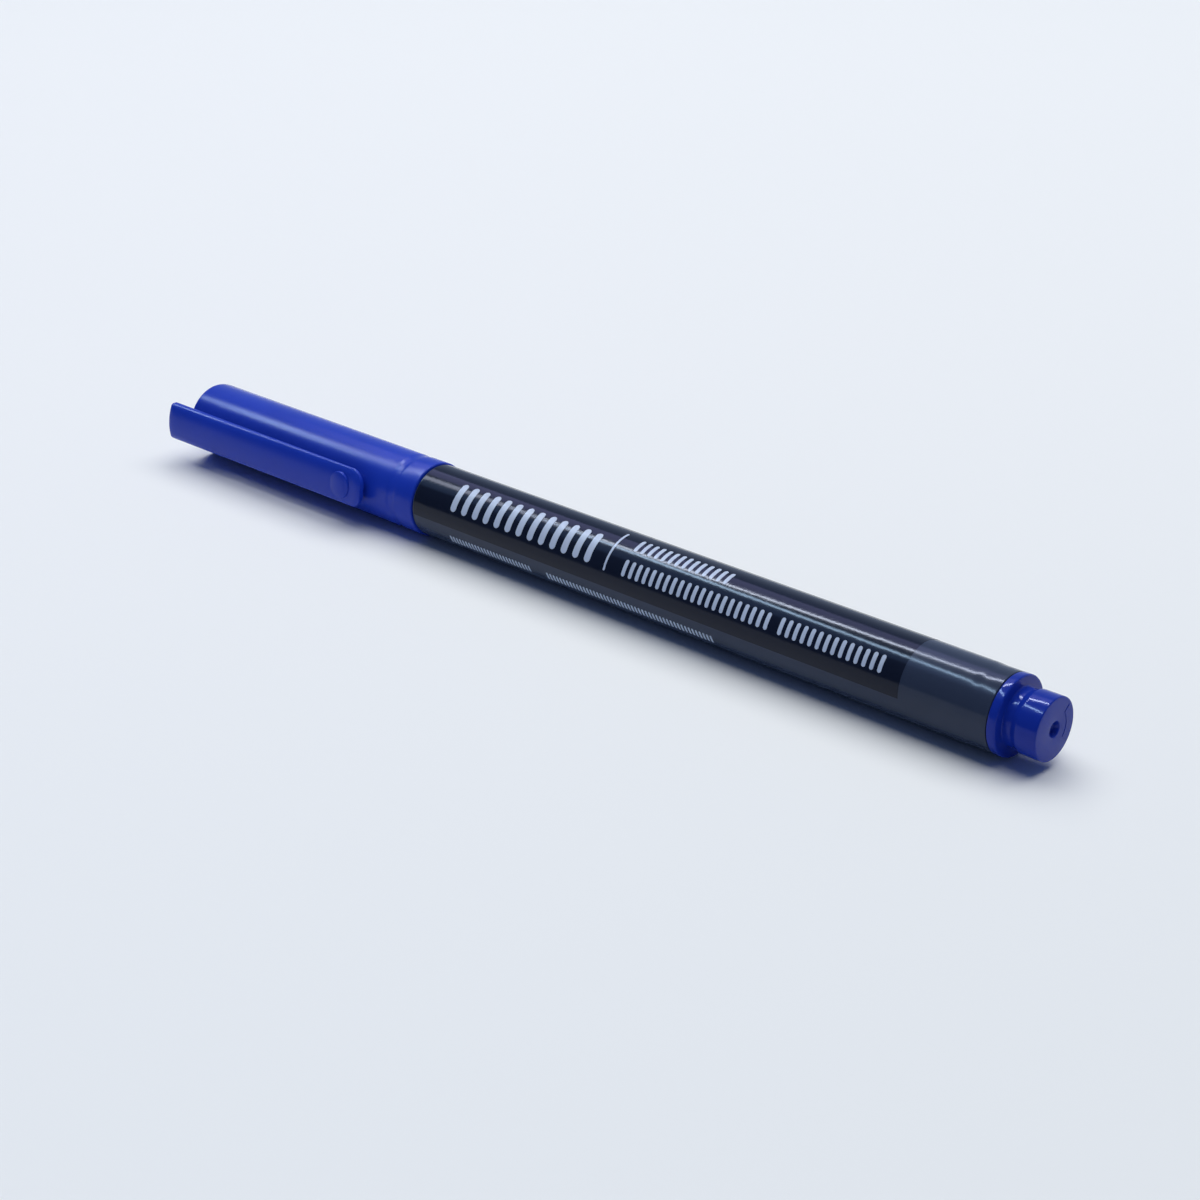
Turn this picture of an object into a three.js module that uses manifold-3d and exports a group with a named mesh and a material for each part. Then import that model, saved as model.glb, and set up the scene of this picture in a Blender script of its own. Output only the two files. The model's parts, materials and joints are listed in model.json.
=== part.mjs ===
// Slim fine-tip marker, capped and lying on its side. Millimetres, +Z up, pen axis along +X from
// the cap's closed end to the tail plug. The origin is under the middle of the pen's box.
import * as THREE from 'three';
import { mergeVertices } from 'three/addons/utils/BufferGeometryUtils.js';
import Module from 'manifold-3d';

const wasm = await Module();
wasm.setup();

// Driving dimensions. Stations (_X) are measured along the pen axis from the cap's closed end.
const SIDES = 40;
const GAP = 0.3;
const FILM_GAP = 0.2;
const RUNNING = 0.05;

const CAP_R = 4.95;
const CAP_MOUTH_X = 45.5;
const CAP_WALL = 0.85;
const CAP_END = 1.2;
const CAP_EDGE = 0.25;
const CAP_RING_X = 41.6;
const CAP_RING_W = 1.3;
const CAP_RING_DEPTH = 0.12;
const VENT_COUNT = 3;
const VENT_SWEEP = 48;
const VENT_R = 3.4;
const VENT_W = 0.8;

const CLIP_ROLL = 7;
const CLIP_START_X = -2.4;
const CLIP_TIP_X = 37.4;
const CLIP_TIP_CORNER = 2;
const CLIP_SPLIT_X = 5.2;
const CLIP_WIDTH = 5.2;
const CLIP_TOP = 7.35;
const CLIP_UNDER = 5.75;
const CLIP_DROP = 0.5;
const BRIDGE_X = 0.6;
const BRIDGE_WIDTH = 3.2;
const BUTTON_R = 1.8;
const BUTTON_X = 33.7;
const BUTTON_PROUD = 0.12;
const FOOT_R = 2;
const FOOT_X = 35.2;

const BARREL_R = 4.75;
const BARREL_WALL = 0.9;
const BARREL_END_X = 134;
const SEAT_X = 36;
const BEAD_R = CAP_R - CAP_WALL - RUNNING;
const SEAT_R = BEAD_R - 0.07;
const FRONT_BORE_R = 3.2;
const BORE_X = 46.5;
const BULGE_X = 131.3;
const BULGE = 0.09;
const RIB_COUNT = 4;
const RIB_WIDTH = 0.6;

const NOSE_R = 3.85;
const SEAL_R = 3;
const SEAL_X = 23.5;
const NOSE_TIP_X = 12;
const NOSE_TIP_R = 1.5;
const NOSE_BORE_R = 1.15;

const NIB_R = 0.95;
const NIB_TIP_X = 8;
const NIB_BACK_X = 52;

const INNER_CAP_R = 3.8;
const INNER_CAP_X = 1.6;
const INNER_CAP_MOUTH_X = 22.9;

const CORE_R = 2.95;
const CORE_X = 47;
const CORE_END_X = 121;
const FILM_WALL = 0.2;

const FLANGE_T = 1;
const NECK_R = 3.45;
const STUB_R = 3.7;
const STUB_STEP_X = 136.5;
const TAIL_X = 139.6;
const DIMPLE_R = 0.95;
const DIMPLE_DEPTH = 0.8;

const radians = THREE.MathUtils.degToRad;

const plastic = (color, roughness) => new THREE.MeshStandardMaterial({ color, roughness, metalness: 0 });
const capBlue = plastic(0x1c2bb0, 0.3);
const barrelGrey = plastic(0x2b303c, 0.25);
const noseBlack = plastic(0x191b20, 0.35);
const linerWhite = plastic(0xd9dbd8, 0.5);
const filmClear = plastic(0xc6cbd6, 0.2);
const inkFibre = plastic(0x12196e, 0.95);
const nibFibre = plastic(0x10154a, 0.9);

// A closed geometry as a manifold solid, and a manifold solid as a named mesh.
function solid(geometry) {
  geometry.deleteAttribute('normal');
  geometry.deleteAttribute('uv');
  const merged = mergeVertices(geometry, 1e-5);
  const vertProperties = new Float32Array(merged.attributes.position.array);
  const triVerts = new Uint32Array(merged.index.array);
  return new wasm.Manifold(new wasm.Mesh({ numProp: 3, vertProperties, triVerts }));
}

function piece(name, body, material) {
  const { vertProperties, triVerts } = body.getMesh();
  const geometry = new THREE.BufferGeometry();
  geometry.setAttribute('position', new THREE.BufferAttribute(vertProperties, 3));
  geometry.setIndex(new THREE.BufferAttribute(triVerts, 1));
  geometry.computeVertexNormals();
  const mesh = new THREE.Mesh(geometry, material);
  mesh.name = name;
  return mesh;
}

// Turns a closed profile of [station, radius] points about the pen axis.
function turned(profile) {
  const points = [...profile, profile[0]].map(([x, r]) => new THREE.Vector2(r, x));
  return solid(new THREE.LatheGeometry(points, SIDES).rotateZ(-Math.PI / 2));
}

// Extrusions named after the direction they run in, in a frame with X along the pen, Y across it
// and Z away from its axis. A section is drawn in (y, z) and an outline in (x, y).
function section(points, from, to) {
  const shape = new THREE.Shape(points.map(([y, z]) => new THREE.Vector2(y, z)));
  const geometry = new THREE.ExtrudeGeometry(shape, { depth: to - from, bevelEnabled: false });
  const axes = [new THREE.Vector3(0, 1, 0), new THREE.Vector3(0, 0, 1), new THREE.Vector3(1, 0, 0)];
  geometry.applyMatrix4(new THREE.Matrix4().makeBasis(...axes));
  return solid(geometry.translate(from, 0, 0));
}

function outline(shape, from, to) {
  const geometry = new THREE.ExtrudeGeometry(shape, { depth: to - from, bevelEnabled: false, curveSegments: 12 });
  return solid(geometry.translate(0, 0, from));
}

function block(x, y, z) {
  const geometry = new THREE.BoxGeometry(x[1] - x[0], y[1] - y[0], z[1] - z[0]);
  return solid(geometry.translate((x[0] + x[1]) / 2, (y[0] + y[1]) / 2, (z[0] + z[1]) / 2));
}

function disc(radius, x, from, to) {
  const geometry = new THREE.CylinderGeometry(radius, radius, to - from, 24).rotateX(Math.PI / 2);
  return solid(geometry.translate(x, 0, (from + to) / 2));
}

const rollToClip = (body) => body.rotate([90 - CLIP_ROLL, 0, 0]);

// The whole clip bar: a crowned face that runs down a little towards the rounded tip, over a flat
// underside that is parallel to the pen axis.
function clipBar() {
  const half = CLIP_WIDTH / 2;
  const spread = Math.asin(half / CLIP_TOP);
  const steps = 12;
  const crown = Array.from({ length: steps + 1 }, (_, i) => {
    const angle = spread - (2 * spread * i) / steps;
    return [CLIP_TOP * Math.sin(angle), CLIP_TOP * Math.cos(angle)];
  });
  const slope = Math.atan(CLIP_DROP / (CLIP_TIP_X - CLIP_START_X));
  const run = section([...crown, [-half, 0], [half, 0]].reverse(), 0, CLIP_TIP_X - CLIP_START_X + GAP)
    .translate([0, 0, -CLIP_TOP]).rotate([0, THREE.MathUtils.radToDeg(slope), 0])
    .translate([CLIP_START_X - GAP / 2, 0, CLIP_TOP]);
  const plan = new THREE.Shape();
  plan.moveTo(CLIP_START_X, -half);
  const corner = CLIP_TIP_CORNER;
  plan.absarc(CLIP_TIP_X - corner, corner - half, corner, -Math.PI / 2, 0);
  plan.absarc(CLIP_TIP_X - corner, half - corner, corner, 0, Math.PI / 2);
  plan.lineTo(CLIP_START_X, half);
  return run.intersect(outline(plan, CLIP_UNDER, CLIP_TOP + 1));
}

// Cap moulding: closed tube with a shallow ring near the mouth, arc vents in the closed end, the
// bridge, and the head of the clip that stands past the closed end.
function capShell() {
  const bore = CAP_R - CAP_WALL;
  const ringEdge = CAP_RING_W / 2;
  const tube = turned([
    [0, 0], [0, CAP_R - CAP_EDGE], [CAP_EDGE * 0.3, CAP_R - CAP_EDGE * 0.3], [CAP_EDGE, CAP_R],
    [CAP_RING_X - ringEdge, CAP_R], [CAP_RING_X - ringEdge + 0.3, CAP_R - CAP_RING_DEPTH],
    [CAP_RING_X + ringEdge - 0.3, CAP_R - CAP_RING_DEPTH], [CAP_RING_X + ringEdge, CAP_R],
    [CAP_MOUTH_X - 0.15, CAP_R], [CAP_MOUTH_X, CAP_R - 0.1], [CAP_MOUTH_X, bore],
    [CAP_END, bore], [CAP_END, 0],
  ]);
  const head = clipBar().subtract(block([CLIP_SPLIT_X, CLIP_TIP_X + 1], [-5, 5], [0, 9]));
  const half = BRIDGE_WIDTH / 2;
  const bridge = block([BRIDGE_X, CLIP_SPLIT_X], [-half, half], [CAP_R - CAP_WALL / 2, CLIP_UNDER + GAP]);
  return tube.subtract(vents()).add(rollToClip(head.add(bridge)));
}

function vents() {
  const sweep = radians(VENT_SWEEP) / 2;
  const slot = new THREE.Shape();
  slot.absarc(0, 0, VENT_R + VENT_W / 2, -sweep, sweep);
  slot.absarc(0, 0, VENT_R - VENT_W / 2, sweep, -sweep, true);
  const cutter = outline(slot, -1, CAP_END + 1).rotate([0, 90, 0]);
  const cutters = Array.from({ length: VENT_COUNT }, (_, i) =>
    cutter.rotate([(i * 360) / VENT_COUNT + 90 - CLIP_ROLL, 0, 0]));
  return cutters.reduce((all, one) => all.add(one));
}

// Springing arm of the clip, with a raised button on its face and a foot under its tip.
function clipArm() {
  const arm = clipBar().subtract(block([CLIP_START_X - 1, CLIP_SPLIT_X + GAP], [-5, 5], [0, 9]));
  const drop = (CLIP_DROP * (BUTTON_X - CLIP_START_X)) / (CLIP_TIP_X - CLIP_START_X);
  const button = disc(BUTTON_R, BUTTON_X, CLIP_UNDER + GAP, CLIP_TOP - drop + BUTTON_PROUD);
  const foot = disc(FOOT_R, FOOT_X, CAP_R + GAP, CLIP_UNDER + GAP);
  return rollToClip(arm.add(button).add(foot));
}

// Sealing liner: a cup that closes on the nose so that the nib can't dry out.
function innerCap() {
  const seal = SEAL_R + RUNNING;
  const hollow = NOSE_TIP_R + 0.7;
  return turned([
    [INNER_CAP_X, 0], [INNER_CAP_X, INNER_CAP_R - 0.6], [INNER_CAP_X + 0.6, INNER_CAP_R],
    [INNER_CAP_MOUTH_X, INNER_CAP_R], [INNER_CAP_MOUTH_X, seal + 0.4], [INNER_CAP_MOUTH_X - 0.6, seal],
    [SEAL_X - 6, seal], [NOSE_TIP_X - 0.5, hollow], [NIB_TIP_X - 2.5, hollow], [NIB_TIP_X - 2.5, 0],
  ]);
}

// Barrel: cap seat with its snap bead, plain tube, and the swelling over the plug's snap ring. Ribs
// inside keep the reservoir central and leave air channels beside it.
function barrel() {
  const bore = BARREL_R - BARREL_WALL;
  const shoulder = CAP_MOUTH_X + GAP;
  const tube = turned([
    [SEAT_X, FRONT_BORE_R], [SEAT_X, SEAT_R - 0.2], [SEAT_X + 0.2, SEAT_R],
    [CAP_RING_X - 0.9, SEAT_R], [CAP_RING_X - 0.3, BEAD_R], [CAP_RING_X + 0.3, BEAD_R],
    [CAP_RING_X + 0.9, SEAT_R], [shoulder, SEAT_R], [shoulder, BARREL_R - 0.15],
    [shoulder + 0.15, BARREL_R], [BULGE_X - 1.1, BARREL_R], [BULGE_X, BARREL_R + BULGE],
    [BULGE_X + 1.1, BARREL_R], [BARREL_END_X, BARREL_R], [BARREL_END_X, bore],
    [BORE_X, bore], [BORE_X, FRONT_BORE_R],
  ]);
  const rib = block([BORE_X - GAP, CORE_END_X], [-RIB_WIDTH / 2, RIB_WIDTH / 2],
    [CORE_R + 3 * FILM_GAP, bore + BARREL_WALL / 2]);
  const ribs = Array.from({ length: RIB_COUNT }, (_, i) => rib.rotate([45 + (i * 360) / RIB_COUNT, 0, 0]));
  return ribs.reduce((body, one) => body.add(one), tube);
}

// Nose: a spigot inside the barrel's front bore, a grip, the sealing land and the cone of the nib.
function noseCone() {
  const spigot = FRONT_BORE_R - FILM_GAP;
  const face = SEAT_X - GAP;
  return turned([
    [NOSE_TIP_X, NOSE_BORE_R], [NOSE_TIP_X, NOSE_TIP_R], [NOSE_TIP_X + 0.8, NOSE_TIP_R + 0.2],
    [SEAL_X - 6, SEAL_R - 0.1], [SEAL_X - 5.6, SEAL_R], [SEAL_X, SEAL_R], [SEAL_X, NOSE_R - 0.4],
    [SEAL_X + 0.4, NOSE_R - 0.2], [face - 0.3, NOSE_R], [face, NOSE_R - 0.2], [face, spigot],
    [SEAT_X + 8, spigot], [SEAT_X + 8, NOSE_BORE_R],
  ]);
}

// Nib: a fibre rod that is ground to a fine rounded point in front.
function nib() {
  return turned([
    [NIB_TIP_X, 0], [NIB_TIP_X + 0.08, 0.25], [NIB_TIP_X + 0.4, 0.42], [NIB_TIP_X + 2.6, NIB_R],
    [NIB_BACK_X, NIB_R], [NIB_BACK_X + 1.2, 0.3], [NIB_BACK_X + 1.2, 0],
  ]);
}

// Fibre core that holds the ink, bored in front for the nib's back end, and the film round it.
function inkCore() {
  const bore = NIB_R + FILM_GAP;
  return turned([
    [CORE_X, bore], [CORE_X, CORE_R], [CORE_END_X, CORE_R], [CORE_END_X, 0],
    [NIB_BACK_X + 2, 0], [NIB_BACK_X + 2, bore],
  ]);
}

function coreFilm() {
  const inside = CORE_R + FILM_GAP;
  return turned([
    [CORE_X, inside], [CORE_X, inside + FILM_WALL], [CORE_END_X, inside + FILM_WALL], [CORE_END_X, inside],
  ]);
}

// Tail plug: hollow spigot with a snap ring, flange against the barrel, and the stub outside.
function tailPlug() {
  const spigot = BARREL_R - BARREL_WALL - FILM_GAP;
  const flange = BARREL_END_X + FILM_GAP;
  const inside = spigot - 1;
  const open = CORE_END_X + 1;
  return turned([
    [flange - 1, 0], [flange - 1, inside], [open, inside], [open, spigot - 0.3], [open + 1.5, spigot],
    [BULGE_X - 0.6, spigot], [BULGE_X, spigot + 0.1], [BULGE_X + 0.6, spigot], [flange, spigot],
    [flange, BARREL_R], [flange + FLANGE_T - 0.15, BARREL_R], [flange + FLANGE_T, BARREL_R - 0.15],
    [flange + FLANGE_T, NECK_R], [STUB_STEP_X, NECK_R], [STUB_STEP_X + 0.5, STUB_R],
    [TAIL_X - 0.25, STUB_R], [TAIL_X, STUB_R - 0.25], [TAIL_X, DIMPLE_R],
    [TAIL_X - DIMPLE_DEPTH, DIMPLE_R - 0.3], [TAIL_X - DIMPLE_DEPTH, 0],
  ]);
}

const pen = new THREE.Group();
pen.add(
  piece('cap_shell', capShell(), capBlue),
  piece('clip_arm', clipArm(), capBlue),
  piece('inner_cap', innerCap(), linerWhite),
  piece('barrel', barrel(), barrelGrey),
  piece('nose_cone', noseCone(), noseBlack),
  piece('nib', nib(), nibFibre),
  piece('ink_core', inkCore(), inkFibre),
  piece('core_film', coreFilm(), filmClear),
  piece('tail_plug', tailPlug(), capBlue),
);
pen.position.set(-(CLIP_START_X + TAIL_X) / 2, (CLIP_TOP - CAP_R) / 2, CAP_R);

export default new THREE.Group().add(pen);
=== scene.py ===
import json
import math

import bmesh
import bpy
from mathutils import Matrix, Vector


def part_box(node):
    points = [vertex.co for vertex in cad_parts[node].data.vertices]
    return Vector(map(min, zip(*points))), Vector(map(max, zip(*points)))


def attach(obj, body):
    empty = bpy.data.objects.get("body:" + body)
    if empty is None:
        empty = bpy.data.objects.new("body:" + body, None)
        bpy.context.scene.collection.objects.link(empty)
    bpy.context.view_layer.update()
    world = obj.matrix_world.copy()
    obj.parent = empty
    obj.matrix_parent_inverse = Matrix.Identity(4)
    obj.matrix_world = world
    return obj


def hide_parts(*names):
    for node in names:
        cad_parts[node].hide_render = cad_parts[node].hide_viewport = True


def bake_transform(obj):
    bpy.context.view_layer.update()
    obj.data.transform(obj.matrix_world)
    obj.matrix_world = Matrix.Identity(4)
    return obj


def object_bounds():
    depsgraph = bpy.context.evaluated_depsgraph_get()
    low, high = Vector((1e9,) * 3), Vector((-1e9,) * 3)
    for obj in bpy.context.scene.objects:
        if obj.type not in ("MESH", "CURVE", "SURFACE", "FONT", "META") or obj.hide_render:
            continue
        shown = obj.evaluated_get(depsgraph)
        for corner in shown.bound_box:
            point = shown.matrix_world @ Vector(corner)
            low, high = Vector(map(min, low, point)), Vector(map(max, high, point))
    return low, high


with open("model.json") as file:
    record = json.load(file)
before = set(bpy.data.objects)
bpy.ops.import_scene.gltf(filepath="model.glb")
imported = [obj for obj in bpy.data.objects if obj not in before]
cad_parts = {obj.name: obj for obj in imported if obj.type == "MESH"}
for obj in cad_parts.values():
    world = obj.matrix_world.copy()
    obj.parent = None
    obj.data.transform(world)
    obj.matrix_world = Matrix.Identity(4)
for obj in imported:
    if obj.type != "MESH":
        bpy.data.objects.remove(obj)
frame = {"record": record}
cad_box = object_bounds()

# Camera: at the height and angle of someone looking down across the table at the tail plug, with
# the pen running away to the upper left. A long lens keeps the perspective gentle.
VIEW_AZIMUTH = math.radians(42.86)
VIEW_ELEVATION = math.radians(24.7)
VIEW_DISTANCE = 0.2716
AIM_OFFSET = Vector((0.0137, -0.0075, 0))
LENS_LENGTH = 69

box_middle = (Vector(cad_box[0]) + Vector(cad_box[1])) / 2
look = Vector((
    -math.sin(VIEW_AZIMUTH) * math.cos(VIEW_ELEVATION),
    math.cos(VIEW_AZIMUTH) * math.cos(VIEW_ELEVATION),
    -math.sin(VIEW_ELEVATION),
))
camera_data = bpy.data.cameras.new("camera")
camera_data.lens = LENS_LENGTH
camera_data.clip_start = 0.01
camera = bpy.data.objects.new("camera", camera_data)
camera.location = box_middle + AIM_OFFSET - VIEW_DISTANCE * look
camera.rotation_euler = look.to_track_quat("-Z", "Y").to_euler()
bpy.context.scene.collection.objects.link(camera)
bpy.context.scene.camera = camera
bpy.context.scene.view_settings.view_transform = "Standard"


# Barrel: a thin-walled polypropylene tube, moulded in one with the seat that the cap snaps onto. Its
# wall narrows a little behind the plug's snap ring, near the tail. Turned, with rounded edges.

# The capped pen lies on its side. Every station along its axis is counted in millimetres from the
# cap's closed end, cap first and tail plug last.
MM = 0.001
FILLET_STEPS = 6
SIDES = 144
CRISP_ANGLE = math.radians(35)
mounts = {mount["name"]: Vector(mount["pos_m"]) for mount in frame["record"]["mounts"]}
closed_end = mounts["cap_face"]


def span(node):
    """First and last station of a CAD node."""
    low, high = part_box(node)
    return (low.x - closed_end.x) / MM, (high.x - closed_end.x) / MM


def place(x, radius, angle):
    """A point in metres; the angle is 0 towards the clip side (-Y) and grows upwards."""
    side = Vector((0, -math.cos(angle), math.sin(angle)))
    return closed_end + MM * (Vector((x, 0, 0)) + radius * side)


def rounded(corners):
    """A profile of (station, radius) points from (station, radius, fillet) corners."""
    points = []
    for i, (x, r, fillet) in enumerate(corners):
        here = Vector((x, r))
        before = Vector(corners[i - 1][:2]) - here
        after = Vector(corners[(i + 1) % len(corners)][:2]) - here
        bend = before.angle(after, math.pi) / 2
        if fillet == 0 or bend > math.radians(89):
            points.append(here)
            continue
        setback = fillet / math.tan(bend)
        inward = (before.normalized() + after.normalized()).normalized()
        centre = here + inward * fillet / math.sin(bend)
        start = here + before.normalized() * setback - centre
        stop = here + after.normalized() * setback - centre
        turn = start.angle_signed(stop)
        points += [centre + Matrix.Rotation(-turn * k / FILLET_STEPS, 2) @ start
                   for k in range(FILLET_STEPS + 1)]
    return points


def steps_between(start, stop, count):
    """Both ends and the even steps between them."""
    return [start + (stop - start) * k / count for k in range(count + 1)]


def finish_mesh(name, bm):
    """The bmesh as a smooth-shaded object, with its sharper edges kept crisp."""
    bmesh.ops.remove_doubles(bm, verts=bm.verts, dist=1e-7)
    bmesh.ops.recalc_face_normals(bm, faces=bm.faces)
    mesh = bpy.data.meshes.new(name)
    bm.to_mesh(mesh)
    bm.free()
    mesh.shade_smooth()
    mesh.set_sharp_from_angle(angle=CRISP_ANGLE)
    made = bpy.data.objects.new(name, mesh)
    bpy.context.scene.collection.objects.link(made)
    return made


def join_rings(bm, ring, following):
    """Faces between two rings of points, either of which may be a single point on the axis."""
    for k in range(max(len(ring), len(following))):
        met = [ring[k % len(ring)], ring[(k + 1) % len(ring)]]
        met += [following[(k + 1) % len(following)], following[k % len(following)]]
        met = list(dict.fromkeys(met))
        if len(met) > 2:
            bm.faces.new(met)


def turned(name, corners):
    """A closed profile of corners, turned about the pen's axis."""
    bm = bmesh.new()
    rings = []
    for x, r in rounded(corners):
        count = SIDES if r > 1e-6 else 1
        rings.append([bm.verts.new(place(x, r, 2 * math.pi * k / SIDES)) for k in range(count)])
    for ring, following in zip(rings, rings[1:] + rings[:1]):
        join_rings(bm, ring, following)
    return finish_mesh(name, bm)


class Wire:
    """A socket in a node tree. Arithmetic on it adds Math nodes, and node() adds any other node."""

    def __init__(self, tree, socket=None):
        self.tree = tree
        self.socket = socket

    def node(self, kind, settings=None, inputs=None, output=0):
        made = self.tree.nodes.new(kind)
        for name, value in (settings or {}).items():
            if name == "stops":
                for stop, (position, shade) in zip(ramp_stops(made, len(value)), value):
                    stop.position = position
                    stop.color = shade
            else:
                setattr(made, name, value)
        for name, value in (inputs or {}).items():
            if isinstance(value, Wire):
                self.tree.links.new(value.socket, made.inputs[name])
            else:
                made.inputs[name].default_value = value
        return Wire(self.tree, made.outputs[output])

    def math(self, operation, *values):
        return self.node("ShaderNodeMath", {"operation": operation}, dict(enumerate(values)))

    def __add__(self, other):
        return self.math("ADD", self, other)

    def __sub__(self, other):
        return self.math("SUBTRACT", self, other)

    def __rsub__(self, other):
        return self.math("SUBTRACT", other, self)

    def __mul__(self, other):
        return self.math("MULTIPLY", self, other)

    __radd__ = __add__
    __rmul__ = __mul__


def ramp_stops(ramp_node, count):
    """A colour ramp's stops, as many as are asked for."""
    elements = ramp_node.color_ramp.elements
    while len(elements) < count:
        elements.new(1)
    return elements


def new_material(name):
    """A material, a Wire to start its nodes from, and its Principled shader."""
    material = bpy.data.materials.new(name)
    material.use_nodes = True
    tree = material.node_tree
    return material, Wire(tree), tree.nodes["Principled BSDF"]


def connect(shader, **links):
    """Links wires to the shader's inputs, and sets plain values on their own sockets."""
    for name, value in links.items():
        socket = shader.inputs[name.replace("_", " ")]
        if isinstance(value, Wire):
            value.tree.links.new(value.socket, socket)
        else:
            socket.default_value = value


SKIN_DEPTH = 0.0003
PLASTIC_IOR = 1.28


def moulded_plastic(name, colour, gloss, peel=0.02):
    """Moulded plastic: faint colour drift, a skin like orange peel, and fine rubbed patches."""
    material, wire, shader = new_material(name)
    spot = wire.node("ShaderNodeTexCoord", output=3)
    drift = wire.node("ShaderNodeTexNoise", None, {"Vector": spot, "Scale": 90, "Detail": 3})
    skin = wire.node("ShaderNodeTexNoise", None, {"Vector": spot, "Scale": 1400, "Detail": 2})
    rubbed = wire.node("ShaderNodeTexNoise", None,
                       {"Vector": spot, "Scale": 420, "Detail": 6, "Roughness": 0.7})
    dark = [0.86 * c for c in colour] + [1]
    light = [min(1, 1.12 * c) for c in colour] + [1]
    base = wire.node("ShaderNodeMix", {"data_type": "RGBA"}, {0: drift, 6: dark, 7: light}, 2)
    bump = wire.node("ShaderNodeBump", None, {"Strength": peel, "Distance": SKIN_DEPTH, "Height": skin})
    connect(shader, Base_Color=base, Roughness=gloss + 0.06 * rubbed, Normal=bump, IOR=PLASTIC_IOR)
    return material


BARREL_GREY = (0.03, 0.044, 0.082)
barrel_start, barrel_end = span("barrel")
cap_mouth = span("cap_shell")[1]
BARREL_RADIUS = 4.75
BORE = 3.85
SEAT_RADIUS = 3.97
SEAT_BORE = 3.2
SNAP_BEAD = 4.04
STEP_DOWN = 0.06
STEP_COUNT = 14
shoulder = cap_mouth + 0.12
snap_ring = barrel_end - 2.7
ring_front, ring_back = snap_ring - 0.7, snap_ring + 0.7
barrel = turned("barrel_tube", [
    (barrel_start, SEAT_BORE, 0.1), (barrel_start, SEAT_RADIUS, 0.25),
    (40.8, SEAT_RADIUS, 0.3), (41.3, SNAP_BEAD, 0.2), (41.9, SNAP_BEAD, 0.2), (42.4, SEAT_RADIUS, 0.3),
    (shoulder, SEAT_RADIUS, 0.08), (shoulder, BARREL_RADIUS, 0.18),
    *[(x, BARREL_RADIUS - STEP_DOWN * (1 - math.cos(math.pi * k / STEP_COUNT)) / 2, 0)
      for k, x in enumerate(steps_between(ring_front, ring_back, STEP_COUNT))],
    (barrel_end, BARREL_RADIUS - STEP_DOWN, 0.1), (barrel_end, BORE, 0.1),
    (46.5, BORE, 0.2), (46.5, SEAT_BORE, 0.2),
])
barrel.data.materials.append(moulded_plastic("barrel_grey", BARREL_GREY, 0.13, peel=0.015))
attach(barrel, "root")
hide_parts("barrel")

# Printed film: a near-black transfer rolled onto the barrel. It starts just behind the cap's mouth,
# stops short of the tail, and leaves a stripe of bare grey tube underneath.
FILM_BLACK = (0.0075, 0.012, 0.028)
FILM_GAP = 0.004
FILM_RAISE = 0.02
FILM_END = 122.7
FILM_LOW = math.radians(-5.5)
FILM_HIGH = math.radians(214)


def wrap(bm, stations, angles, inside, outside):
    """A thin closed sheet wrapped round the pen's axis over a grid of stations and angles."""
    shells = [[[bm.verts.new(place(x, r, a)) for a in angles] for x in stations]
              for r in (inside, outside)]
    inner, outer = shells
    rows, columns = len(stations) - 1, len(angles) - 1
    for i in range(rows):
        for k in range(columns):
            for grid in shells:
                bm.faces.new([grid[i][k], grid[i + 1][k], grid[i + 1][k + 1], grid[i][k + 1]])
    rim = [(i, 0) for i in range(rows)] + [(rows, k) for k in range(columns)]
    rim += [(rows - i, columns) for i in range(rows)] + [(0, columns - k) for k in range(columns)]
    for (i, k), (j, m) in zip(rim, rim[1:] + rim[:1]):
        bm.faces.new([inner[i][k], inner[j][m], outer[j][m], outer[i][k]])


film_mesh = bmesh.new()
film_stations = steps_between(shoulder + 0.25, FILM_END, 60)
wrap(film_mesh, film_stations, steps_between(FILM_LOW, FILM_HIGH, 88), BARREL_RADIUS + FILM_GAP,
     BARREL_RADIUS + FILM_RAISE)
film = finish_mesh("print_film", film_mesh)
film.data.materials.append(moulded_plastic("print_black", FILM_BLACK, 0.1, peel=0.03))
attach(film, "root")

# White print: plain bars and dashes screened onto the film and the bare stripe. They stand where a
# maker's panel would carry its words, and they say nothing.
PRINT_WHITE = (0.5, 0.6, 0.76)
PRINT_RAISE = 0.012
PRINT_GAP = 0.004
BAR_COLUMNS = 8


def close_sheets(bm, inner, outer):
    """Faces over two grids of points that lie one above the other, and round their rims."""
    rows, columns = len(inner) - 1, len(inner[0]) - 1
    for i in range(rows):
        for k in range(columns):
            for sheet in (inner, outer):
                bm.faces.new([sheet[i][k], sheet[i + 1][k], sheet[i + 1][k + 1], sheet[i][k + 1]])
        for k in (0, columns):
            bm.faces.new([inner[i][k], inner[i + 1][k], outer[i + 1][k], outer[i][k]])
    for i in (0, rows):
        for k in range(columns):
            bm.faces.new([inner[i][k], inner[i][k + 1], outer[i][k + 1], outer[i][k]])


def print_bar(bm, x, length, low, height, rise):
    """A bar with rounded ends: first station, length, lowest angle in degrees, height, and rise."""
    radius = min(length, height) / 2
    under = BARREL_RADIUS + rise
    middle = math.radians(low) + height / 2 / BARREL_RADIUS
    straight = height / 2 - radius
    quarter = [math.pi * (1 - math.cos(math.pi * k / 16)) / 4 for k in range(17)]
    curve = [(radius - radius * math.cos(a), radius * math.sin(a)) for a in quarter]
    outline = [(x + back, half) for back, half in curve]
    outline += [(x + length - back, half) for back, half in reversed(curve)]
    sheets = [[[bm.verts.new(place(s, r, middle + v * (half + straight) / BARREL_RADIUS))
                for v in steps_between(-1, 1, BAR_COLUMNS)] for s, half in outline]
              for r in (under, under + PRINT_RAISE)]
    close_sheets(bm, *sheets)


marks = bmesh.new()
on_film = FILM_RAISE + PRINT_GAP


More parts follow.
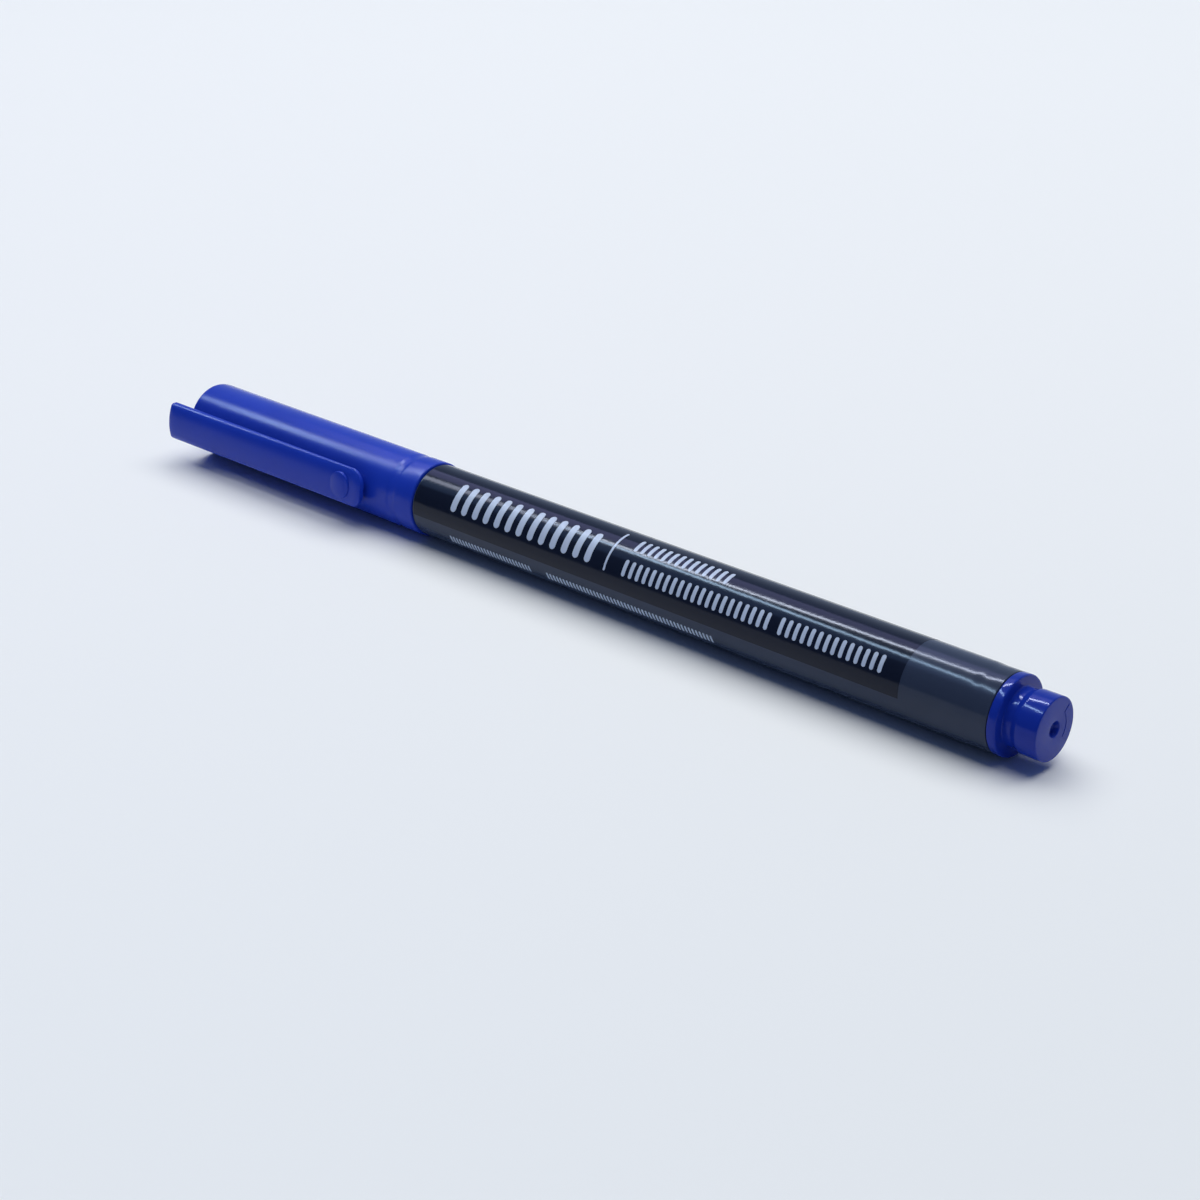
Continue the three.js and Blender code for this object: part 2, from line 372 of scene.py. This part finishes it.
def print_row(first, last, count, low, height, rise):
    """A row of equal upright bars with gaps as long as the bars, between two stations."""
    pitch = (last - first) / (count - 0.5)
    for k in range(count):
        print_bar(marks, first + k * pitch, 0.5 * pitch, low, height, rise)


print_row(52.4, 76.6, 13, 21, 4.1, on_film)
print_bar(marks, 78.9, 0.32, 18.5, 6.0, on_film)
print_row(81.8, 96.2, 14, 61, 2.1, on_film)
print_row(81.8, 104.1, 21, 20, 2.1, on_film)
print_row(105.6, 120.1, 14, 20, 2.1, on_film)
print_row(52.2, 66.4, 26, -36, 1.2, PRINT_GAP)
print_row(69.3, 96, 48, -36, 1.2, PRINT_GAP)
white_print = finish_mesh("print_marks", marks)
white_print.data.materials.append(moulded_plastic("print_white", PRINT_WHITE, 0.25, peel=0.03))
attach(white_print, "root")

# Ink core: polyester fibres bundled into a rod, soaked with ink, and bored for the nib's back end.
# It lies loose in the barrel between the nose and the plug's spigot.
INK_BLUE = (0.012, 0.016, 0.16)
CORE_RADIUS = 2.95
NIB_HOLE = 1.15
ALONG_SCALE = 60
ACROSS_SCALE = 4200
core_start, core_end = span("ink_core")
nib_start, nib_end = span("nib")


def fibre(name, colour, gloss=0.8):
    """Bundled fibres running along the pen: streaks in the colour and in the surface."""
    material, wire, shader = new_material(name)
    spot = wire.node("ShaderNodeTexCoord", output=3)
    stretch = wire.node("ShaderNodeMapping", None,
                        {"Vector": spot, "Scale": (ALONG_SCALE / ACROSS_SCALE, 1, 1)})
    streaks = wire.node("ShaderNodeTexNoise", None,
                        {"Vector": stretch, "Scale": ACROSS_SCALE, "Detail": 4})
    blots = wire.node("ShaderNodeTexNoise", None, {"Vector": spot, "Scale": 300, "Detail": 4})
    dark = [0.45 * c for c in colour] + [1]
    light = [min(1, 1.7 * c) for c in colour] + [1]
    mixing = 0.6 * streaks + 0.4 * blots
    base = wire.node("ShaderNodeMix", {"data_type": "RGBA"}, {0: mixing, 6: dark, 7: light}, 2)
    bump = wire.node("ShaderNodeBump", None, {"Strength": 0.5, "Distance": 0.0001, "Height": streaks})
    connect(shader, Base_Color=base, Roughness=gloss + 0.15 * blots, Normal=bump)
    return material


core = turned("ink_core_rod", [
    (core_start, NIB_HOLE, 0.1), (core_start, CORE_RADIUS, 0.25), (core_end, CORE_RADIUS, 0.25),
    (core_end, 0, 0), (nib_end + 0.8, 0, 0), (nib_end + 0.8, NIB_HOLE, 0.3),
])
core.data.materials.append(fibre("ink_soaked_fibre", INK_BLUE))
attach(core, "root")
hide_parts("ink_core")

# Core wrap: a thin polypropylene film round the fibre bundle, open at both ends. It keeps the ink off
# the barrel's wall.
WRAP_INSIDE = CORE_RADIUS + 0.2
WRAP_OUTSIDE = CORE_RADIUS + 0.3
core_wrap = turned("core_wrap", [
    (core_start, WRAP_INSIDE, 0.02), (core_start, WRAP_OUTSIDE, 0.04),
    (core_end, WRAP_OUTSIDE, 0.04), (core_end, WRAP_INSIDE, 0.02),
])
core_wrap.data.materials.append(moulded_plastic("clear_wrap", (0.55, 0.6, 0.7), 0.15))
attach(core_wrap, "root")
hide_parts("core_film")

# Nose: black polypropylene, pressed into the front of the barrel. Fine grip rings run round it, then
# the smooth land that the liner seals on, then the cone that holds the nib.
NOSE_BLACK = (0.011, 0.012, 0.015)
GRIP_RADIUS = 3.84
GRIP_GROOVE = 3.66
GRIP_PITCH = 1.3
SEAL_RADIUS = 3
SPIGOT_RADIUS = 3.05
nose_start, nose_end = span("nose_cone")
seal_end = 23.5
nose_face = barrel_start - 0.1
grip_rings = []
for k in range(6):
    groove = nose_face - 3 - GRIP_PITCH * k
    grip_rings += [(groove + 0.35, GRIP_RADIUS, 0.1), (groove, GRIP_GROOVE, 0.15),
                   (groove - 0.35, GRIP_RADIUS, 0.1)]
nose = turned("nose", [
    (nose_start, NIB_HOLE, 0.08), (nose_start, 1.5, 0.15), (nose_start + 0.8, 1.7, 0.4),
    (seal_end - 6, 2.88, 0.5), (seal_end - 5.5, SEAL_RADIUS, 0.3), (seal_end, SEAL_RADIUS, 0.1),
    (seal_end, 3.55, 0.15), (seal_end + 0.6, 3.8, 0.4), *reversed(grip_rings),
    (nose_face, GRIP_RADIUS, 0.15), (nose_face, SPIGOT_RADIUS, 0.05),
    (nose_end, SPIGOT_RADIUS, 0.2), (nose_end, NIB_HOLE, 0.1),
])
nose.data.materials.append(moulded_plastic("nose_black", NOSE_BLACK, 0.32, peel=0.05))
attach(nose, "root")
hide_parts("nose_cone")

# Nib: bonded acrylic fibre, ground to a fine rounded point and stained with ink. It is gripped by
# the nose, and its back end reaches into the ink core.
NIB_BLUE = (0.01, 0.014, 0.09)
NIB_RADIUS = 0.93
nib = turned("nib_rod", [
    (nib_start, 0, 0), (nib_start, 0.42, 0.36), (nib_start + 2.6, NIB_RADIUS, 0.8),
    (nib_end - 1, NIB_RADIUS, 0.3), (nib_end, 0.3, 0.1), (nib_end, 0, 0),
])
nib.data.materials.append(fibre("nib_fibre", NIB_BLUE, gloss=0.6))
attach(nib, "root")
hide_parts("nib")

# Tail plug: blue polypropylene. A hollow spigot snaps into the tube, a flange closes on its end, and
# a stub steps out behind it for the cap to sit on. The gate dimple is in the middle of its face.
PLUG_BLUE = (0.008, 0.03, 0.33)
PLUG_SPIGOT = 3.65
PLUG_BORE = 2.65
FLANGE_RADIUS = 4.72
FLANGE_THICKNESS = 1.12
NECK_RADIUS = 3.42
STUB_RADIUS = 3.7
plug_start, plug_end = span("tail_plug")
flange = barrel_end + 0.06
flange_back = flange + FLANGE_THICKNESS
stub_face = plug_end - 0.05


def cut(piece, tool, operation="DIFFERENCE"):
    """Applies a boolean with the tool to the piece and removes the tool."""
    modifier = piece.modifiers.new("cut", "BOOLEAN")
    modifier.operation = operation
    modifier.object = tool
    modifier.solver = "EXACT"
    evaluated = piece.evaluated_get(bpy.context.evaluated_depsgraph_get())
    shaped = bpy.data.meshes.new_from_object(evaluated)
    piece.modifiers.clear()
    piece.data = shaped
    piece.data.set_sharp_from_angle(angle=CRISP_ANGLE)
    piece.data.materials.clear()
    bpy.data.objects.remove(tool)


plug = turned("plug", [
    (flange - 1, 0, 0), (flange - 1, PLUG_BORE, 0.3), (plug_start, PLUG_BORE, 0.1),
    (plug_start, 3.4, 0.2), (plug_start + 1.5, PLUG_SPIGOT, 0.5),
    (ring_front, PLUG_SPIGOT, 0.3), (snap_ring, 3.78, 0.3), (ring_back, PLUG_SPIGOT, 0.3),
    (flange, PLUG_SPIGOT, 0.05), (flange, FLANGE_RADIUS, 0.18), (flange_back, FLANGE_RADIUS, 0.2),
    (flange_back, NECK_RADIUS, 0.15), (136.3, NECK_RADIUS, 0.5), (137, STUB_RADIUS, 0.5),
    (stub_face, STUB_RADIUS, 0.15), (stub_face, 0.95, 0.15),
    (plug_end - 0.75, 0.7, 0.2), (plug_end - 0.8, 0, 0),
])
ejector_land = bmesh.new()
land_angles = steps_between(math.radians(140), math.radians(222), 20)
wrap(ejector_land, [plug_end - 0.3, plug_end], land_angles, 2.2, 3.3)
cut(plug, finish_mesh("land_tool", ejector_land), "UNION")
plug.data.materials.append(moulded_plastic("plug_blue", PLUG_BLUE, 0.1, peel=0.02))
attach(plug, "root")
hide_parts("tail_plug")

# Inner cap: a milky polyethylene cup fixed inside the cap. Its lip grips the nose's land, so the nib
# can't dry out.
LINER_MILKY = (0.66, 0.67, 0.66)
LINER_RADIUS = 3.8
LINER_GRIP = 3.05
NIB_ROOM = 2.2
liner_start, liner_end = span("inner_cap")
liner = turned("seal_liner", [
    (liner_start, 0, 0), (liner_start, LINER_RADIUS, 0.6), (liner_end, LINER_RADIUS, 0.15),
    (liner_end, 3.4, 0.15), (liner_end - 0.6, LINER_GRIP, 0.3), (seal_end - 6, LINER_GRIP, 0.4),
    (nose_start - 0.5, NIB_ROOM, 0.5), (nib_start - 2.5, NIB_ROOM, 0.6), (nib_start - 2.5, 0, 0),
])
liner.data.materials.append(moulded_plastic("liner_milky", LINER_MILKY, 0.42))
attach(liner, "liner")
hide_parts("inner_cap")

# Cap: royal-blue polypropylene tube with a closed end. The shallow ring near the mouth lies
# over the groove that snaps onto the barrel's bead. Arc vents let air past the liner.
CAP_BLUE = (0.011, 0.043, 0.455)
CAP_RADIUS = 4.95
RING_RADIUS = CAP_RADIUS - 0.08
CAP_BORE = 4.1
GROOVE_RADIUS = 4.17
END_WALL = 1.2
# the clip's angle above the pen's side, which the vents share
CLIP_ROLL = math.radians(7)
VENT_RADIUS = 3.4
VENT_HALF_WIDTH = 0.4
VENT_SWEEP = math.radians(48)
cap = turned("cap_tube", [
    (0, 0, 0), (0, CAP_RADIUS, 0.25),
    (40.7, CAP_RADIUS, 0.5), (41.2, RING_RADIUS, 0.5), (41.9, RING_RADIUS, 0.5),
    (42.4, CAP_RADIUS, 0.5),
    (cap_mouth, CAP_RADIUS, 0.25), (cap_mouth, CAP_BORE, 0.12),
    (42.4, CAP_BORE, 0.2), (42, GROOVE_RADIUS, 0.2), (41.3, GROOVE_RADIUS, 0.2), (40.9, CAP_BORE, 0.2),
    (END_WALL, CAP_BORE, 0.4), (END_WALL, 0, 0),
])
vent_cutter = bmesh.new()
for k in range(3):
    middle = CLIP_ROLL + math.radians(60 + 120 * k)
    angles = steps_between(middle - VENT_SWEEP / 2, middle + VENT_SWEEP / 2, 16)
    wrap(vent_cutter, steps_between(-1, 1.8, 1), angles, VENT_RADIUS - VENT_HALF_WIDTH,
         VENT_RADIUS + VENT_HALF_WIDTH)
cut(cap, finish_mesh("vent_tool", vent_cutter))
cap_blue = moulded_plastic("cap_blue", CAP_BLUE, 0.21, peel=0.012)
cap.data.materials.append(cap_blue)
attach(cap, "cap")
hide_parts("cap_shell")

# Clip: moulded in one with the cap. A crowned bar stands on a bridge near the closed end, runs past
# that end, and springs along the cap to a rounded tip with a raised button and a foot beneath.
HALF_WIDTH = 2.6
CORNER = 0.5
TIP_CORNER = 2
CLIP_TOP = 7.18
CLIP_UNDER = 5.75
CLIP_DROP = 0.5
# a rounded edge's width, and its share of the side's height
FACE_EDGE = (0.9, 0.5)
BACK_EDGE = (0.2, 0.2)
clip_start = span("cap_shell")[0]
clip_tip = span("clip_arm")[1]
clip_frame = Matrix.Translation(closed_end) @ Matrix.Rotation(math.pi / 2 - CLIP_ROLL, 4, "X")


def on_clip(x, y, height):
    """A point in metres, from its station, its place across the clip, and its height off the axis."""
    return clip_frame @ (MM * Vector((x, y, height)))


def outline_half(x):
    """Half the bar's width at a station."""
    back = clip_tip - TIP_CORNER
    if x > back:
        return HALF_WIDTH - TIP_CORNER + math.sqrt(max(0, TIP_CORNER**2 - (x - back) ** 2))
    if x < clip_start + CORNER:
        return HALF_WIDTH - CORNER + math.sqrt(max(0, CORNER**2 - (clip_start + CORNER - x) ** 2))
    return HALF_WIDTH


def edge_distance(x, y):
    """How far inside the bar's outline a point is."""
    side, front, tip = HALF_WIDTH - abs(y), x - clip_start, clip_tip - x
    if side < TIP_CORNER and tip < TIP_CORNER:
        return TIP_CORNER - math.hypot(TIP_CORNER - side, TIP_CORNER - tip)
    if side < CORNER and front < CORNER:
        return CORNER - math.hypot(CORNER - side, CORNER - front)
    return min(side, front, tip)


def slope(x):
    """How far the bar's face has come down towards the cap at a station."""
    return CLIP_DROP * (x - clip_start) / (clip_tip - clip_start)


def rolled_edge(x, y, width, share):
    """How far a surface has dropped in a rounded edge that takes up a share of the bar's side."""
    side = math.sqrt(CLIP_TOP**2 - HALF_WIDTH**2) - slope(x) - CLIP_UNDER
    inward = max(0, 1 - max(0, edge_distance(x, y)) / width)
    return share * side * (1 - math.sqrt(1 - inward**2))


def clip_face(x, y):
    """The bar's outer surface: crowned, and sloping down towards the tip."""
    crown = CLIP_TOP - math.sqrt(CLIP_TOP**2 - y**2)
    return CLIP_TOP - slope(x) - crown - rolled_edge(x, y, *FACE_EDGE)


def clip_back(x, y):
    """The bar's inner surface, flat with softened edges."""
    return CLIP_UNDER + rolled_edge(x, y, *BACK_EDGE)


def eased(start, stop, count):
    """Stations that crowd towards both ends."""
    return [start + (stop - start) * (1 - math.cos(math.pi * k / count)) / 2 for k in range(count + 1)]


def slab(bm, stations, across, face, back):
    """A closed bar over the outline, between a face and a back surface."""
    sheets = [[[bm.verts.new(on_clip(x, v * outline_half(x), surface(x, v * outline_half(x))))
                for v in across] for x in stations] for surface in (face, back)]
    close_sheets(bm, *sheets)


tip_turn = clip_tip - TIP_CORNER
bar = bmesh.new()
bar_stations = eased(clip_start, clip_start + CORNER, 10)[:-1]
bar_stations += steps_between(clip_start + CORNER, tip_turn, 60)[:-1]
bar_stations += [tip_turn + TIP_CORNER * math.sin(a) for a in steps_between(0, math.pi / 2, 28)]
bar_across = [math.sin(math.pi / 2 * v) for v in steps_between(-1, 1, 36)]
slab(bar, bar_stations, bar_across, clip_face, clip_back)
clip = finish_mesh("clip_bar", bar)

# the bridge that joins the bar to the cap's wall, flared at both ends
BRIDGE_MIDDLE = 2.9
BRIDGE_HALF_LENGTH = 2.2
BRIDGE_HALF_WIDTH = 1.35
BRIDGE_FLARE = 0.45
BRIDGE_WAIST = 5.35
BRIDGE_SIDES = 48
bridge_mesh = bmesh.new()
levels = []
for height in steps_between(4.5, CLIP_UNDER + 0.35, 12):
    flare = BRIDGE_FLARE * (abs(height - BRIDGE_WAIST) / 0.85) ** 2.2
    level = []
    for q in range(BRIDGE_SIDES):
        angle = 2 * math.pi * q / BRIDGE_SIDES
        squareness = (abs(math.cos(angle)) ** 5 + abs(math.sin(angle)) ** 5) ** -0.2
        x = BRIDGE_MIDDLE + (BRIDGE_HALF_LENGTH + flare) * math.cos(angle) * squareness
        y = (BRIDGE_HALF_WIDTH + flare) * math.sin(angle) * squareness
        level.append(bridge_mesh.verts.new(on_clip(x, y, height)))
    levels.append(level)
for level, following in zip(levels, levels[1:]):
    join_rings(bridge_mesh, level, following)
bridge_mesh.faces.new(levels[0])
bridge_mesh.faces.new(levels[-1])
cut(clip, finish_mesh("bridge_tool", bridge_mesh), "UNION")

# the raised button on the face and the foot under the tip, both with soft edges
BOSS_SIDES = 64
BUTTON_RADIUS = 1.8
BUTTON_STATION = 33.7
BUTTON_RAISE = 0.16
FOOT_RADIUS = 2
FOOT_STATION = 35.2


def boss(radius, x, profile):
    """A round boss about an axis square to the clip, from (height, share of radius) points."""
    bm = bmesh.new()
    rings = []
    for height, share in profile:
        reach = radius * share
        turns = [2 * math.pi * q / BOSS_SIDES for q in range(BOSS_SIDES if share > 0 else 1)]
        rings.append([bm.verts.new(on_clip(x + reach * math.cos(a), reach * math.sin(a), height))
                      for a in turns])
    for ring, following in zip(rings, rings[1:]):
        join_rings(bm, ring, following)
    return finish_mesh("boss_tool", bm)


inside_bar = CLIP_UNDER + 0.4
button_top = clip_face(BUTTON_STATION, 0) + BUTTON_RAISE
cut(clip, boss(BUTTON_RADIUS, BUTTON_STATION, [
    (inside_bar, 0), (inside_bar, 1), (button_top - 0.12, 1), (button_top - 0.04, 0.975),
    (button_top, 0.93), (button_top, 0),
]), "UNION")
foot_low = CAP_RADIUS + 0.3
cut(clip, boss(FOOT_RADIUS, FOOT_STATION, [
    (inside_bar, 0), (inside_bar, 1), (foot_low + 0.35, 1), (foot_low + 0.12, 0.9),
    (foot_low, 0.65), (foot_low, 0),
]), "UNION")
clip.data.materials.append(cap_blue)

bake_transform(clip)
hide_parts("clip_arm")

# Table: a pale, slightly cool sheet with a faint soft unevenness, and a painted light falloff that
# makes it lighter further from the camera. Far from the pen it fades into the pale backdrop, so that
# it has no edge from any side.
BACKDROP = (0.72, 0.78, 0.83, 1)
# painted light falloff: the table's colour near the camera (painted shade) and away from it (painted
# light)
TABLE_NEAR_SHADED = (0.775, 0.825, 0.835, 1)
TABLE_AWAY_LIT = (0.82, 0.86, 0.87, 1)
BLACK = (0, 0, 0, 1)
floor_mesh = bmesh.new()
bmesh.ops.create_grid(floor_mesh, x_segments=8, y_segments=8, size=4)
floor = finish_mesh("table", floor_mesh)
material, wire, shader = new_material("table_white")
spot = wire.node("ShaderNodeTexCoord", output=3)
cloud = wire.node("ShaderNodeTexNoise", None, {"Vector": spot, "Scale": 9, "Detail": 3})
across = wire.node("ShaderNodeSeparateXYZ", None, {"Vector": spot}, 0)
away = wire.node("ShaderNodeSeparateXYZ", None, {"Vector": spot}, 1)
# painted light falloff: grows along the camera's view across the table, lighter further away
painted_falloff = wire.node("ShaderNodeMapRange", {"interpolation_type": "SMOOTHSTEP"},
                 {"Value": 0.73 * away - 0.68 * across, "From Min": -0.2, "From Max": 0.1})
sheet = wire.node("ShaderNodeMix", {"data_type": "RGBA"},
                  {0: 0.9 * painted_falloff + 0.1 * cloud, 6: TABLE_NEAR_SHADED, 7: TABLE_AWAY_LIT}, 2)
far = wire.node("ShaderNodeMapRange", {"interpolation_type": "SMOOTHSTEP"},
                {"Value": across * across + away * away, "From Min": 0.1, "From Max": 0.6})
base = wire.node("ShaderNodeMix", {"data_type": "RGBA"}, {0: far, 6: sheet, 7: BLACK}, 2)
haze = wire.node("ShaderNodeMix", {"data_type": "RGBA"}, {0: far, 6: BLACK, 7: BACKDROP}, 2)
connect(shader, Base_Color=base, Emission_Color=haze, Emission_Strength=1, Roughness=0.6,
        Specular_IOR_Level=0.2)
floor.data.materials.append(material)


# Light: one wide soft lamp overhead lights everything. The others only show in reflections: panels
# over the cap, two strips that part towards the tail and draw the lines along the barrel, and two
# dim glows beside them.
def lamp(name, start, end, width, radiance, colour, mirrored=True):
    """A rectangular lamp that faces the pen, from the middle of one end to that of the other."""
    data = bpy.data.lights.new(name, "AREA")
    data.shape = "RECTANGLE"
    run = Vector(end) - Vector(start)
    data.size = run.length
    data.size_y = width
    data.color = colour
    data.energy = radiance * math.pi * run.length * width
    made = bpy.data.objects.new(name, data)
    middle = (Vector(start) + Vector(end)) / 2
    along = run.normalized()
    facing = -middle.normalized()
    facing = (facing - facing.dot(along) * along).normalized()
    turned_to_pen = Matrix((along, along.cross(facing), -facing)).transposed().to_4x4()
    made.matrix_world = Matrix.Translation(middle) @ turned_to_pen
    made.visible_glossy = mirrored
    made.visible_diffuse = not mirrored
    bpy.context.scene.collection.objects.link(made)


lamp("fill", (-1.5, 0.38, 1.5), (0.8, 0.38, 1.5), 1.8, 2.8, (1, 0.965, 0.9), mirrored=False)
lamp("panel_over_cap", (-1.5, -0.24, 1), (-1.15, -0.16, 1), 0.3, 17, (0.62, 0.84, 1))
lamp("panel_middle", (-1.15, -0.16, 1), (-0.8, -0.03, 1), 0.2, 10, (0.75, 0.8, 1))
lamp("strip_back", (-0.8, 0, 1), (-0.28, 0.325, 1), 0.065, 44, (0.74, 0.82, 1))
lamp("strip_front", (-0.8, -0.05, 1), (-0.28, -0.47, 1), 0.075, 30, (0.52, 0.74, 1))
lamp("glow_behind", (-1.2, 0.4, 1.01), (-0.28, 0.4, 1.01), 0.5, 2.2, (0.5, 0.5, 1))
lamp("glow_front", (-1.2, -0.42, 1.01), (-0.28, -0.42, 1.01), 0.4, 1.2, (0.3, 0.5, 1))

# Room: a dim blue surround fills the shadows, reflections see it grow lighter behind the pen, and
# what lies past the table is the same pale backdrop from every side.
ROOM_FILL = (0.06, 0.09, 0.2, 1)
world = bpy.data.worlds.new("studio")
world.use_nodes = True
bpy.context.scene.world = world
room = Wire(world.node_tree)
direction = room.node("ShaderNodeTexCoord", output=0)
toward = room.node("ShaderNodeSeparateXYZ", None, {"Vector": direction}, 1)
glow = room.node("ShaderNodeValToRGB", {"stops": [
    (0, (0.02, 0.022, 0.03, 1)), (0.5, (0.05, 0.06, 0.09, 1)), (0.8, (0.28, 0.36, 0.55, 1)),
    (1, (0.55, 0.66, 0.85, 1)),
]}, {0: 0.5 + 0.5 * toward})
seen_ray = room.node("ShaderNodeLightPath", output=0)
mirrored_ray = room.node("ShaderNodeLightPath", output=3)
lit = room.node("ShaderNodeMix", {"data_type": "RGBA"}, {0: mirrored_ray, 6: ROOM_FILL, 7: glow}, 2)
shade = room.node("ShaderNodeMix", {"data_type": "RGBA"}, {0: seen_ray, 6: lit, 7: BACKDROP}, 2)
background = world.node_tree.nodes["Background"]
world.node_tree.links.new(shade.socket, background.inputs["Color"])
